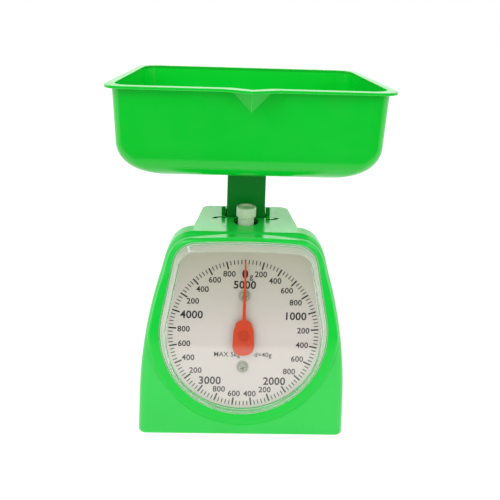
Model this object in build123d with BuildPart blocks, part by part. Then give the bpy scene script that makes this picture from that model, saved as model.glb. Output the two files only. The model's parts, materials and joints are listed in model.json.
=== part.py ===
from build123d import *
from math import asin, cos, degrees, pi, radians, sin, tan
import os

# Spring platform scale, 5 kg capacity, one turn of the pointer for full load.
# Millimetres. +Z up, the dial faces -Y, origin on the ground on the post's axis.

os.makedirs("parts", exist_ok=True)

# ---- housing ----
GROUND_GAP = 0.5  # housing rim above the ground, left by the feet
BODY_TOP = 136.0  # flat top that the post comes out of
BODY_HALF_WIDTH = 69.4  # at the base
BODY_WALL = 2.4
SIDE_ARC_RADIUS = 290.0  # the sides lean in along this arc
SIDE_ARC_FOOT = 25.0  # height where the sides start to lean in
SHOULDER_START = 108.0
SHOULDER_MID = (52.3, 125.0)
SHOULDER_END = 34.0
FRONT_FOOT_Y = -45.2  # the front panel leans back a little
FRONT_TOP_Y = -41.2
FRONT_BACK_Y = -23.3  # back of the wide front section
HOOD_START_Y = -30.0
FRONT_EDGE_ROUND = 6.0
# rear hood sections: height, half width in front, half width behind, rear y, corner radius
HOOD_SECTIONS = (
    (GROUND_GAP, 67.2, 64.2, 58.0, 16.0),
    (50.0, 65.6, 60.7, 54.5, 18.0),
    (95.0, 56.4, 45.6, 40.5, 16.0),
    (125.0, 42.5, 35.5, 21.5, 10.0),
    (BODY_TOP, 36.3, 31.8, 13.8, 6.0),
)

# ---- dial, bezel and lens ----
DIAL_Z = 68.5
DIAL_FACE_Y = -41.0
DIAL_THICKNESS = 1.0
BEZEL_FACE_Y = -45.5
BEZEL_RADIUS = 64.5
BEZEL_INSET = 1.8  # bezel inside the front section's outline
LENS_RADIUS = 56.5
LENS_CENTRE_Z = 71.0  # a little above the middle of the dial
LENS_TOP_Z = 133.0
LENS_CORNER = 15.5
LENS_FLANGE = 2.0
LENS_RISE = 3.7
LENS_WALL = 1.5
LENS_SLOPE = 42.0
LENS_GAP = 0.25
LEDGE = 1.2
CUP_BACK_Y = -38.0
DIAL_SCREWS_Z = (DIAL_Z - 23.3, DIAL_Z + 26.2)

# ---- post, platform and pan ----
POST_WIDTH = 28.0
POST_DEPTH = 16.0
POST_WALL = 2.5
POST_BOTTOM = 62.0
POST_TOP = 173.5
POST_SLOT_GAP = 0.8
PLATFORM_SIZE = (60.0, 50.0, 3.0)
PAN_BOTTOM = POST_TOP + PLATFORM_SIZE[2]
PAN_RIM = 238.0
PAN_HALF = (85.1, 64.4)  # where the walls rise out of the big round at the floor
PAN_TAPER = 4.8
PAN_CORNER = 11.0
PAN_FLOOR_CORNER = 15.0
PAN_FLOOR_ROUND = 26.0
PAN_WALL = 1.8
RIM_WIDTH = 182.6
RIM_DEPTH = 143.2
RIM_CORNER = 12.0
RIM_THICKNESS = 1.8
SPOUT_HALF = 15.5
SPOUT_REACH = 8.0
SPOUT_DROP = 12.2
RIM_NOTCH_X = 66.0
RIM_NOTCH = (2.0, 9.0)

# ---- movement ----
PITCH_RADIUS = 2.5
PINION_TEETH = 10
TOOTH_PITCH = 2 * pi * PITCH_RADIUS / PINION_TEETH
TRAVEL = 2 * pi * PITCH_RADIUS  # platform drop at full load, one pointer turn
LEVER_LENGTH = 42.0
LEVER_TILT = degrees(asin(TRAVEL / 2 / LEVER_LENGTH))  # above level when empty
REAR_PIVOT_Y = 31.0
LOWER_PIVOT_Z = 28.0
UPPER_PIVOT_Z = 84.0
FRONT_PIVOT_Y = REAR_PIVOT_Y - LEVER_LENGTH * cos(radians(LEVER_TILT))
FRONT_PIVOT_RISE = TRAVEL / 2
PIN_RADIUS = 1.5
RUNNING_GAP = 0.05
OPEN_PIVOT_GAP = 0.15
SHEET = 1.5
CHEEK_INNER = 14.2  # carrier cheeks either side of the post
LEVER_INNER = 16.2
CHASSIS_INNER = 18.4
CHASSIS_FRONT_Y = -36.0
CHASSIS_FOOT = 8.0
CHASSIS_TOP = 118.0
SHAFT_RADIUS = 1.0

# ---- springs and zero adjustment ----
ZERO_Y = -18.5  # springs, hanger and zero screw share this plane
SPRING_X = 26.0
SPRING_RADIUS = 4.5
WIRE_RADIUS = 0.6
LOOP_RADIUS = 3.6
LOWER_LOOP_Z = 51.0
UPPER_LOOP_Z = 103.9
SPRING_TURNS = 18
BEAM_HALF = 31.0
ZERO_SCREW_RADIUS = 2.0

FRONT = Plane.XZ  # sketches seen from the dial side: x right, y up, normal towards -Y


def front_plane(y):
    """A plane facing the dial side at depth y."""
    return FRONT.offset(-y)


def shoulder_outline(inset, foot):
    """Front outline of the body: straight foot, leaning sides and round shoulders."""
    radius = SIDE_ARC_RADIUS - inset
    centre_x = BODY_HALF_WIDTH - SIDE_ARC_RADIUS
    lean = asin((SHOULDER_START - SIDE_ARC_FOOT) / SIDE_ARC_RADIUS)
    shoulder = (centre_x + radius * cos(lean), SIDE_ARC_FOOT + radius * sin(lean))
    middle = (SHOULDER_MID[0] - 0.71 * inset, SHOULDER_MID[1] - 0.71 * inset)
    top = BODY_TOP - inset
    half = BODY_HALF_WIDTH - inset
    with BuildSketch() as outline:
        with BuildLine():
            Line((0, foot), (half, foot))
            Line((half, foot), (half, SIDE_ARC_FOOT))
            side = ThreePointArc(
                (half, SIDE_ARC_FOOT),
                (centre_x + radius * cos(lean / 2), SIDE_ARC_FOOT + radius * sin(lean / 2)),
                shoulder,
            )
            Spline(side @ 1, middle, (SHOULDER_END, top), tangents=[side % 1, (-1, 0)])
            Line((SHOULDER_END, top), (0, top))
            mirror(about=Plane.YZ)
        make_face()
    return outline.sketch


def lens_outline(grow):
    """Lens outline: round below, straight leaning sides and a slightly arched top."""
    lean = 10.7
    side_foot = (LENS_RADIUS * cos(radians(lean)), LENS_CENTRE_Z + LENS_RADIUS * sin(radians(lean)))
    corner_z = LENS_TOP_Z - 2.2
    corner_x = side_foot[0] - (corner_z - side_foot[1]) * tan(radians(lean))
    with BuildSketch() as outline:
        with BuildLine():
            ThreePointArc((0, LENS_CENTRE_Z - LENS_RADIUS), (LENS_RADIUS, LENS_CENTRE_Z), side_foot)
            Line(side_foot, (corner_x, corner_z))
            mirror(about=Plane.YZ)
            ThreePointArc((corner_x, corner_z), (0, LENS_TOP_Z), (-corner_x, corner_z))
        make_face()
        fillet(outline.vertices().group_by(Axis.Y)[-1], LENS_CORNER)
        if grow:
            offset(amount=grow)
    return outline.sketch


def hood_solid(inset):
    """Rear hood, lofted up through its horizontal sections."""
    with BuildPart() as hood:
        for height, half_front, half_rear, rear_y, corner in HOOD_SECTIONS:
            level = height
            if inset and height == GROUND_GAP:
                level = -GROUND_GAP
            if height == BODY_TOP:
                level = height - inset
            front = half_front - inset
            rear = half_rear - inset
            with BuildSketch(Plane.XY.offset(level)) as section:
                with BuildLine():
                    Polyline(
                        (-front, HOOD_START_Y),
                        (front, HOOD_START_Y),
                        (rear, rear_y - inset),
                        (-rear, rear_y - inset),
                        close=True,
                    )
                make_face()
                fillet(section.vertices().group_by(Axis.Y)[-1], corner - inset)
        loft()
    return hood.part


def tilted_front(setback):
    """The leaning plane of the front panel, moved back by setback."""
    lean = Vector(0, FRONT_TOP_Y - FRONT_FOOT_Y, BODY_TOP - GROUND_GAP)
    return Plane(
        origin=(0, FRONT_FOOT_Y + setback, GROUND_GAP),
        x_dir=(1, 0, 0),
        z_dir=Vector(1, 0, 0).cross(lean),
    )


def ring(x, y, z, radius, bore, thickness):
    """A flat ring lying across X, centred on x."""
    with BuildPart() as part:
        with BuildSketch(Plane.YZ.offset(x)):
            with Locations((y, z)):
                Circle(radius)
                Circle(bore, mode=Mode.SUBTRACT)
        extrude(amount=thickness / 2, both=True)
    return part.part


# ======================= housing =======================
POST_OPENING_Y = -0.4
KNOB_HOLE_Y = -16.5
KNOB_HOLE_RADIUS = 9.0
BASE_SCREWS = ((60.0, -33.0), (52.0, 44.0))
BASE_BOSS_TOP = 30.0
CHASSIS_SCREWS = ((18.0, 24.0), (18.0, 108.0))
CHEEK_HEIGHT = 5.6

with BuildPart() as front_section:
    with BuildSketch(front_plane(FRONT_BACK_Y)):
        add(shoulder_outline(0, GROUND_GAP))
    extrude(amount=FRONT_BACK_Y - FRONT_FOOT_Y + 4)
    split(bisect_by=tilted_front(0), keep=Keep.BOTTOM)
    face_edges = front_section.faces().sort_by(Axis.Y)[0].edges()
    fillet(face_edges.filter_by_position(Axis.Z, GROUND_GAP + 1, BODY_TOP + 1), FRONT_EDGE_ROUND)
    rear_edges = front_section.faces().sort_by(Axis.Y)[-1].edges()
    fillet(rear_edges.filter_by_position(Axis.Z, SIDE_ARC_FOOT + 1, BODY_TOP - 1), 3)

with BuildPart() as cavity:
    with BuildSketch(front_plane(FRONT_BACK_Y - BODY_WALL)):
        add(shoulder_outline(BODY_WALL, -GROUND_GAP))
    extrude(amount=FRONT_BACK_Y - BODY_WALL - FRONT_FOOT_Y + 4)
    split(bisect_by=tilted_front(BODY_WALL), keep=Keep.BOTTOM)
    add(hood_solid(BODY_WALL))

with BuildPart() as bezel:
    with BuildSketch(front_plane(FRONT_TOP_Y + 2)):
        add(shoulder_outline(BEZEL_INSET, GROUND_GAP))
        with BuildSketch(mode=Mode.INTERSECT):
            with Locations((0, LENS_CENTRE_Z)):
                Circle(BEZEL_RADIUS)
                Rectangle(2 * BODY_HALF_WIDTH, BODY_TOP, align=(Align.CENTER, Align.MIN))
    extrude(amount=FRONT_TOP_Y + 2 - BEZEL_FACE_Y)
    fillet(bezel.faces().sort_by(Axis.Y)[0].edges(), 2.5)

with BuildPart() as housing:
    add(front_section.part)
    add(hood_solid(0))
    add(bezel.part)
    add(cavity.part, mode=Mode.SUBTRACT)
    # cup that holds the dial and the lens
    with BuildSketch(front_plane(CUP_BACK_Y)):
        add(lens_outline(BODY_WALL))
    extrude(amount=CUP_BACK_Y - BEZEL_FACE_Y - LENS_FLANGE)
    with BuildSketch(front_plane(BEZEL_FACE_Y + LENS_FLANGE)):
        add(lens_outline(LENS_GAP))
    extrude(amount=LENS_FLANGE + 1, mode=Mode.SUBTRACT)
    with BuildSketch(front_plane(DIAL_FACE_Y + DIAL_THICKNESS)):
        add(lens_outline(-LEDGE))
    extrude(amount=DIAL_FACE_Y + DIAL_THICKNESS - BEZEL_FACE_Y, mode=Mode.SUBTRACT)
    # bosses behind the dial for its two screws and for the chassis
    with BuildSketch(front_plane(CUP_BACK_Y)):
        with Locations([(0, z) for z in DIAL_SCREWS_Z]):
            Circle(3.6)
    extrude(amount=-1.8)
    with BuildSketch(front_plane(CUP_BACK_Y)):
        for x, z in CHASSIS_SCREWS:
            with Locations((x, z), (-x, z)):
                Circle(4)
    extrude(amount=CUP_BACK_Y - CHASSIS_FRONT_Y)
    with BuildSketch(front_plane(CHASSIS_FRONT_Y)):
        for x, z in CHASSIS_SCREWS:
            with Locations((x, z), (-x, z)):
                Circle(PIN_RADIUS)
    extrude(amount=3.4, mode=Mode.SUBTRACT)
    with BuildSketch(front_plane(CUP_BACK_Y + 2)):
        with Locations([(0, z) for z in DIAL_SCREWS_Z]):
            Circle(PIN_RADIUS)
        with Locations((0, DIAL_Z)):
            Circle(3.6)
    extrude(amount=5, mode=Mode.SUBTRACT)
    # columns for the base screws, tied to the side walls by ribs
    with BuildSketch(Plane.XY.offset(4.8)):
        for x, y in BASE_SCREWS:
            with Locations((x, y), (-x, y)):
                Circle(4.2)
            reach = 67.6 if y < 0 else 64.6
            with Locations(((x + reach) / 2, y), (-(x + reach) / 2, y)):
                Rectangle(reach - x, 2)
    extrude(amount=BASE_BOSS_TOP - 4.8)
    with BuildSketch(Plane.XY.offset(4.8)):
        for x, y in BASE_SCREWS:
            with Locations((x, y), (-x, y)):
                Circle(PIN_RADIUS)
    extrude(amount=9, mode=Mode.SUBTRACT)
    # openings in the top for the post and for the zero knob in front of it
    with BuildSketch(Plane.XY.offset(BODY_TOP - 2 * BODY_WALL)):
        with Locations((0, POST_OPENING_Y)):
            Rectangle(POST_WIDTH + 2 * POST_SLOT_GAP, POST_DEPTH + 2)
        with Locations((0, KNOB_HOLE_Y)):
            Circle(KNOB_HOLE_RADIUS)
    extrude(amount=4 * BODY_WALL, mode=Mode.SUBTRACT)
    # cheeks that steady the post from both sides
    with BuildSketch(Plane.XY.offset(BODY_TOP - 1)):
        with Locations((16.25, -5.2), (-16.25, -5.2)):
            RectangleRounded(2.9, 4.0, 1.2)
    extrude(amount=CHEEK_HEIGHT + 1)
    # turning arrows beside the zero knob
    with BuildSketch(Plane.XY.offset(BODY_TOP - 0.5)):
        for side in (-1, 1):
            with BuildLine() as arrow:
                ThreePointArc(
                    (14.2 * side, -11.7 - side * 0.4),
                    (18.4 * side, -10.9 - side * 1.6),
                    (22.2 * side, -10.5 + side * 0.3),
                )
            trace(line_width=2.0)
            with Locations((22.4 * side, -10.5 + side * 0.5)):
                RegularPolygon(2.5, 3, rotation=90 - 90 * side + 20)
    extrude(amount=1, mode=Mode.SUBTRACT)
housing.part.label = "housing"
export_step(housing.part, "parts/housing.step")

# ======================= base =======================
FOOT_PLACES = ((46.0, -32.0), (38.0, 46.0))
BASE_PLATE_BOTTOM = 1.6
BASE_PLATE_THICKNESS = 3.0
BASE_PLATE_TOP = BASE_PLATE_BOTTOM + BASE_PLATE_THICKNESS

with BuildPart() as base_plate:
    with BuildSketch(Plane.XY.offset(BASE_PLATE_BOTTOM)) as plate:
        with BuildLine():
            Polyline((-64.4, -42.0), (64.4, -42.0), (61.4, 55.2), (-61.4, 55.2), close=True)
        make_face()
        fillet(plate.vertices().group_by(Axis.Y)[-1], 14)
        fillet(plate.vertices().group_by(Axis.Y)[0], 4)
        for x, y in BASE_SCREWS:
            with Locations((x, y), (-x, y)):
                Circle(1.7, mode=Mode.SUBTRACT)
        for x, y in FOOT_PLACES:
            with Locations((x, y), (-x, y)):
                Circle(3, mode=Mode.SUBTRACT)
    extrude(amount=BASE_PLATE_THICKNESS)
    with BuildSketch(Plane.XY.offset(BASE_PLATE_BOTTOM)):
        for x, y in BASE_SCREWS:
            with Locations((x, y), (-x, y)):
                Circle(3.1)
    extrude(amount=1.8, mode=Mode.SUBTRACT)
    # stiffening ribs on the inside
    with BuildSketch(Plane.XY.offset(BASE_PLATE_TOP)):
        with Locations((-40, 6), (40, 6)):
            Rectangle(1.6, 60)
        with Locations((0, 48)):
            Rectangle(50, 1.6)
    extrude(amount=2.4)
base_plate.part.label = "base_plate"
export_step(base_plate.part, "parts/base_plate.step")

with BuildPart() as rubber_feet:
    for x, y in FOOT_PLACES:
        with Locations((x, y, 0), (-x, y, 0)):
            Cylinder(6.5, BASE_PLATE_BOTTOM, align=(Align.CENTER, Align.CENTER, Align.MIN))
            Cylinder(3, BASE_PLATE_TOP, align=(Align.CENTER, Align.CENTER, Align.MIN))
    fillet(rubber_feet.edges().group_by(Axis.Z)[0], 0.6)
rubber_feet.part.label = "rubber_feet"
export_step(rubber_feet.part, "parts/rubber_feet.step")

with BuildPart() as base_screws:
    for x, y in BASE_SCREWS:
        with Locations((x, y, BASE_PLATE_BOTTOM + 0.1), (-x, y, BASE_PLATE_BOTTOM + 0.1)):
            Cylinder(2.8, 1.7, align=(Align.CENTER, Align.CENTER, Align.MIN))
            Cylinder(PIN_RADIUS, 11, align=(Align.CENTER, Align.CENTER, Align.MIN))
    with BuildSketch(Plane.XY.offset(BASE_PLATE_BOTTOM + 0.1)):
        for x, y in BASE_SCREWS:
            with Locations((x, y), (-x, y)):
                Rectangle(3.2, 0.7)
                Rectangle(0.7, 3.2)
    extrude(amount=0.9, mode=Mode.SUBTRACT)
base_screws.part.label = "base_screws"
export_step(base_screws.part, "parts/base_screws.step")

with BuildPart() as stop_bumper:
    with Locations((0, 9, BASE_PLATE_TOP)):
        Cylinder(6, 6.8, align=(Align.CENTER, Align.CENTER, Align.MIN))
    fillet(stop_bumper.edges().group_by(Axis.Z)[-1], 1.2)
stop_bumper.part.label = "stop_bumper"
export_step(stop_bumper.part, "parts/stop_bumper.step")

# ======================= chassis =======================
BRIDGE_SCREWS = ((-14.5, 70.0), (15.5, 70.0))
BUSH_RADIUS = 3.0
TONGUE_HALF = 3.0

with BuildPart() as chassis_frame:
    with BuildSketch(front_plane(CHASSIS_FRONT_Y + SHEET)):
        with Locations((0, CHASSIS_FOOT)):
            Rectangle(48, CHASSIS_TOP + SHEET - CHASSIS_FOOT, align=(Align.CENTER, Align.MIN))
        with Locations((0, DIAL_Z)):
            Circle(BUSH_RADIUS, mode=Mode.SUBTRACT)
        with Locations([(0, z) for z in DIAL_SCREWS_Z]):
            Circle(2.6, mode=Mode.SUBTRACT)
        with Locations((0, 109)):
            Rectangle(2 * TONGUE_HALF + 0.6, 12, mode=Mode.SUBTRACT)
        for x, z in CHASSIS_SCREWS:
            with Locations((x, z), (-x, z)):
                Circle(1.7, mode=Mode.SUBTRACT)
        with Locations(BRIDGE_SCREWS):
            Circle(1.0, mode=Mode.SUBTRACT)
    extrude(amount=SHEET)
    for side in (-1, 1):
        start = CHASSIS_INNER if side > 0 else -CHASSIS_INNER - SHEET
        with BuildSketch(Plane.YZ.offset(start)):
            with BuildLine():
                Polyline(
                    (CHASSIS_FRONT_Y + 0.5, CHASSIS_FOOT),
                    (38.5, CHASSIS_FOOT),
                    (38.5, 60),
                    (36, 66),
                    (36, 90),
                    (26, 90),
                    (26, 24),
                    (18, 16),
                    (CHASSIS_FRONT_Y + 0.5, 16),
                    close=True,
                )
            make_face()
            with Locations((REAR_PIVOT_Y, LOWER_PIVOT_Z), (REAR_PIVOT_Y, UPPER_PIVOT_Z)):
                Circle(PIN_RADIUS, mode=Mode.SUBTRACT)
        extrude(amount=SHEET)
    # rear tie between the uprights
    with BuildSketch(Plane.XY.offset(CHASSIS_FOOT)):
        with Locations((0, 38.5 - SHEET / 2)):
            Rectangle(2 * CHASSIS_INNER + 1, SHEET)
    extrude(amount=50)
    # top flange that carries the zero screw
    with BuildSketch(Plane.XY.offset(CHASSIS_TOP)):
        with Locations((0, CHASSIS_FRONT_Y + 0.5)):
            Rectangle(20, 25.5, align=(Align.CENTER, Align.MIN))
        with Locations((0, ZERO_Y)):
            Circle(ZERO_SCREW_RADIUS + 0.1, mode=Mode.SUBTRACT)
    extrude(amount=SHEET)
chassis_frame.part.label = "chassis_frame"
export_step(chassis_frame.part, "parts/chassis_frame.step")

with BuildPart() as chassis_screws:
    for x, z in CHASSIS_SCREWS:
        for sign in (-1, 1):
            with BuildSketch(front_plane(CHASSIS_FRONT_Y + SHEET)):
                with Locations((sign * x, z)):
                    Circle(PIN_RADIUS)
            extrude(amount=4.7)
            with BuildSketch(front_plane(CHASSIS_FRONT_Y + SHEET)):
                with Locations((sign * x, z)):
                    Circle(2.8)
            extrude(amount=-1.8)
chassis_screws.part.label = "chassis_screws"
export_step(chassis_screws.part, "parts/chassis_screws.step")

with BuildPart() as shaft_bush:
    with BuildSketch(front_plane(CHASSIS_FRONT_Y + SHEET + 1)):
        with Locations((0, DIAL_Z)):
            Circle(BUSH_RADIUS + 1)
    extrude(amount=1)
    with BuildSketch(front_plane(CHASSIS_FRONT_Y + SHEET)):
        with Locations((0, DIAL_Z)):
            Circle(BUSH_RADIUS)
    extrude(amount=SHEET + 1)
    with BuildSketch(front_plane(0)):
        with Locations((0, DIAL_Z)):
            Circle(SHAFT_RADIUS + RUNNING_GAP)
    extrude(amount=50, mode=Mode.SUBTRACT)
shaft_bush.part.label = "shaft_bush"
export_step(shaft_bush.part, "parts/shaft_bush.step")

BRIDGE_BACK_Y = -18.5
BRIDGE_LEFT = -11.5
BRIDGE_RIGHT = 12.5
BRIDGE_HALF = 5.5

with BuildPart() as pinion_bridge:
    # hat-shaped strip: two feet on the chassis, two legs and a back with the bearing
    with BuildSketch(Plane.XY.offset(DIAL_Z - BRIDGE_HALF)):
        foot_y = CHASSIS_FRONT_Y + SHEET
        with BuildLine():
            Polyline(
                (BRIDGE_LEFT - 6, foot_y),
                (BRIDGE_LEFT + SHEET, foot_y),
                (BRIDGE_LEFT + SHEET, BRIDGE_BACK_Y - SHEET),
                (BRIDGE_RIGHT - SHEET, BRIDGE_BACK_Y - SHEET),
                (BRIDGE_RIGHT - SHEET, foot_y),
                (BRIDGE_RIGHT + 6, foot_y),
                (BRIDGE_RIGHT + 6, foot_y + SHEET),
                (BRIDGE_RIGHT, foot_y + SHEET),
                (BRIDGE_RIGHT, BRIDGE_BACK_Y),
                (BRIDGE_LEFT, BRIDGE_BACK_Y),
                (BRIDGE_LEFT, foot_y + SHEET),
                (BRIDGE_LEFT - 6, foot_y + SHEET),
                close=True,
            )
        make_face()
    extrude(amount=2 * BRIDGE_HALF)
    with BuildSketch(front_plane(0)):
        with Locations((0, DIAL_Z)):
            Circle(SHAFT_RADIUS + RUNNING_GAP)
        with Locations(BRIDGE_SCREWS):
            Circle(1.1)
    extrude(amount=50, mode=Mode.SUBTRACT)
pinion_bridge.part.label = "pinion_bridge"
export_step(pinion_bridge.part, "parts/pinion_bridge.step")

with BuildPart() as bridge_screws:
    with BuildSketch(front_plane(CHASSIS_FRONT_Y + 2 * SHEET)):
        with Locations(BRIDGE_SCREWS):
            Circle(1.0)
    extrude(amount=2 * SHEET)
    with BuildSketch(front_plane(CHASSIS_FRONT_Y + 2 * SHEET)):
        with Locations(BRIDGE_SCREWS):
            Circle(1.9)
    extrude(amount=-1.3)
bridge_screws.part.label = "bridge_screws"
export_step(bridge_screws.part, "parts/bridge_screws.step")

# ======================= dial and lens =======================
with BuildPart() as dial_plate:
    with BuildSketch(front_plane(DIAL_FACE_Y + DIAL_THICKNESS)):
        add(lens_outline(-LEDGE - LENS_GAP))
        with Locations((0, DIAL_Z)):
            Circle(3.4, mode=Mode.SUBTRACT)
        with Locations([(0, z) for z in DIAL_SCREWS_Z]):
            Circle(1.7, mode=Mode.SUBTRACT)
    extrude(amount=DIAL_THICKNESS)
dial_plate.part.label = "dial_plate"
export_step(dial_plate.part, "parts/dial_plate.step")

WASHER_THICKNESS = 0.5
with BuildPart() as dial_washers:
    with BuildSketch(front_plane(DIAL_FACE_Y)):
        with Locations([(0, z) for z in DIAL_SCREWS_Z]):
            Circle(4)
            Circle(1.7, mode=Mode.SUBTRACT)
    extrude(amount=WASHER_THICKNESS)
dial_washers.part.label = "dial_washers"
export_step(dial_washers.part, "parts/dial_washers.step")

with BuildPart() as dial_screws:
    for z in DIAL_SCREWS_Z:
        with BuildSketch(front_plane(CHASSIS_FRONT_Y - 0.8)):
            with Locations((0, z)):
                Circle(PIN_RADIUS)
        extrude(amount=CHASSIS_FRONT_Y - 0.8 - DIAL_FACE_Y + WASHER_THICKNESS)
        with BuildSketch(front_plane(DIAL_FACE_Y - WASHER_THICKNESS)):
            with Locations((0, z)):
                Circle(2.8)
        extrude(amount=1.4)
    fillet(dial_screws.edges().group_by(Axis.Y)[0], 0.6)
    with BuildSketch(front_plane(DIAL_FACE_Y - WASHER_THICKNESS - 0.6)):
        with Locations([(0, z) for z in DIAL_SCREWS_Z]):
            Rectangle(3.4, 0.7, rotation=20)
            Rectangle(0.7, 3.4, rotation=20)
    extrude(amount=1, mode=Mode.SUBTRACT)
dial_screws.part.label = "dial_screws"
export_step(dial_screws.part, "parts/dial_screws.step")

with BuildPart() as lens:
    with BuildSketch(front_plane(BEZEL_FACE_Y + LENS_FLANGE)):
        add(lens_outline(0))
    extrude(amount=LENS_FLANGE)
    with BuildSketch(front_plane(BEZEL_FACE_Y)):
        add(lens_outline(-1))
    extrude(amount=LENS_RISE, taper=LENS_SLOPE)
    fillet(lens.faces().sort_by(Axis.Y)[0].edges(), 1.6)
    with BuildSketch(front_plane(BEZEL_FACE_Y + LENS_FLANGE)):
        add(lens_outline(-1 - LENS_WALL))
    extrude(amount=LENS_FLANGE - 0.8, mode=Mode.SUBTRACT)
    with BuildSketch(front_plane(BEZEL_FACE_Y + 0.8)):
        add(lens_outline(-1 - LENS_WALL))
    extrude(amount=LENS_RISE + 0.8 - LENS_WALL, taper=LENS_SLOPE, mode=Mode.SUBTRACT)
lens.part.label = "lens"
export_step(lens.part, "parts/lens.step")

# ======================= pointer =======================
POINTER_BACK_Y = -43.4
POINTER_THICKNESS = 1.0
POINTER_REACH = 51.0

with BuildPart() as pointer:
    with BuildSketch(front_plane(POINTER_BACK_Y)):
        with BuildLine():
            Polyline((0.45, DIAL_Z + POINTER_REACH), (1.15, DIAL_Z + 10.6), (2.3, DIAL_Z + 10.3))
            Spline(
                (2.3, DIAL_Z + 10.3),
                (5.0, DIAL_Z + 8.3),
                (6.2, DIAL_Z + 4.8),
                (7.3, DIAL_Z - 6.2),
                tangents=[(1, -0.3), (0.05, -1)],
            )
            Spline(
                (7.3, DIAL_Z - 6.2),
                (5.6, DIAL_Z - 11.6),
                (0, DIAL_Z - 13.7),
                tangents=[(0, -1), (-1, 0)],
            )
            Line((0, DIAL_Z + POINTER_REACH), (0.45, DIAL_Z + POINTER_REACH))
            mirror(about=Plane.YZ)
        make_face()
    extrude(amount=POINTER_THICKNESS)
    with BuildSketch(front_plane(POINTER_BACK_Y)):
        with Locations((0, DIAL_Z)):
            Circle(3.6)
    extrude(amount=POINTER_THICKNESS + 0.5)
    fillet(pointer.faces().sort_by(Axis.Y)[0].edges(), 0.3)
    with BuildSketch(front_plane(POINTER_BACK_Y + 2.4)):
        with Locations((0, DIAL_Z)):
            Circle(2.4)
    extrude(amount=2.4)
    with BuildSketch(front_plane(POINTER_BACK_Y + 2.4)):
        with Locations((0, DIAL_Z)):
            Circle(SHAFT_RADIUS)
    extrude(amount=3.0, mode=Mode.SUBTRACT)
pointer.part.label = "pointer"
export_step(pointer.part, "parts/pointer.step")

SHAFT_END_Y = -17.5
SHAFT_TIP_Y = POINTER_BACK_Y - 0.6
with BuildPart() as pointer_shaft:
    with BuildSketch(front_plane(SHAFT_END_Y)):
        with Locations((0, DIAL_Z)):
            Circle(SHAFT_RADIUS)
    extrude(amount=SHAFT_END_Y - SHAFT_TIP_Y)
pointer_shaft.part.label = "pointer_shaft"
export_step(pointer_shaft.part, "parts/pointer_shaft.step")

PINION_BACK_Y = -26.3
PINION_WIDTH = 5.0
RACK_BACK_Y = -27.0
RACK_WIDTH = 3.0
TOOTH_ROOT_HALF = 0.42
TOOTH_TIP_HALF = 0.14
ADDENDUM = 0.4
DEDENDUM = 0.5

with BuildPart() as pinion:
    with BuildSketch(front_plane(PINION_BACK_Y)):
        with Locations((0, DIAL_Z)):
            Circle(PITCH_RADIUS - DEDENDUM)
            with PolarLocations(0, PINION_TEETH):
                with BuildLine(mode=Mode.PRIVATE) as tooth:
                    Polyline(
                        (PITCH_RADIUS - DEDENDUM - 0.3, -TOOTH_ROOT_HALF),
                        (PITCH_RADIUS + ADDENDUM, -TOOTH_TIP_HALF),
                        (PITCH_RADIUS + ADDENDUM, TOOTH_TIP_HALF),
                        (PITCH_RADIUS - DEDENDUM - 0.3, TOOTH_ROOT_HALF),
                        close=True,
                    )
                add(make_face(tooth.line, mode=Mode.PRIVATE))
        with Locations((0, DIAL_Z)):
            Circle(SHAFT_RADIUS, mode=Mode.SUBTRACT)
    extrude(amount=PINION_WIDTH)
    with BuildSketch(front_plane(PINION_BACK_Y)):
        with Locations((0, DIAL_Z)):
            Circle(PITCH_RADIUS)
            Circle(SHAFT_RADIUS, mode=Mode.SUBTRACT)
    extrude(amount=-3)
pinion.part.label = "pinion"
export_step(pinion.part, "parts/pinion.step")

# ======================= carrier group =======================
BEAM_BOTTOM = 38.0
BEAM_TOP = 52.0
BEAM_FRONT_Y = ZERO_Y - SHEET / 2
BEAM_BACK_Y = ZERO_Y + SHEET / 2
RACK_BOTTOM = 44.0
RACK_TOP = 91.0
RACK_LEFT = PITCH_RADIUS + DEDENDUM
RACK_RIGHT = 8.0
RACK_SCREWS = ((10.8, 42.4), (10.8, 47.6))
BEAM_SCREWS = ((-11.5, 42.0), (-11.5, 48.0))

with BuildPart() as rack:
    with BuildSketch(front_plane(RACK_BACK_Y)):
        with Locations((RACK_LEFT, RACK_BOTTOM)):
            Rectangle(
                RACK_RIGHT - RACK_LEFT, RACK_TOP - RACK_BOTTOM, align=(Align.MIN, Align.MIN)
            )
        for step in range(-2, PINION_TEETH + 3):
            tooth_z = DIAL_Z + (step + 0.5) * TOOTH_PITCH
            with BuildLine():
                Polyline(
                    (RACK_LEFT + 0.3, tooth_z - TOOTH_ROOT_HALF),
                    (PITCH_RADIUS - ADDENDUM, tooth_z - TOOTH_TIP_HALF),
                    (PITCH_RADIUS - ADDENDUM, tooth_z + TOOTH_TIP_HALF),
                    (RACK_LEFT + 0.3, tooth_z + TOOTH_ROOT_HALF),
                    close=True,
                )
            make_face()
    extrude(amount=RACK_WIDTH)
    with BuildSketch(front_plane(BEAM_FRONT_Y)):
        with Locations((RACK_LEFT, RACK_BOTTOM)):
            Rectangle(RACK_RIGHT - RACK_LEFT, 5, align=(Align.MIN, Align.MIN))
    extrude(amount=BEAM_FRONT_Y - RACK_BACK_Y + 1)
    with BuildSketch(front_plane(BEAM_FRONT_Y)):
        with Locations((RACK_LEFT, 40)):
            Rectangle(10.2, 10, align=(Align.MIN, Align.MIN))
        with Locations(RACK_SCREWS):
            Circle(1.05, mode=Mode.SUBTRACT)
    extrude(amount=2)
rack.part.label = "rack"
export_step(rack.part, "parts/rack.step")

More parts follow.
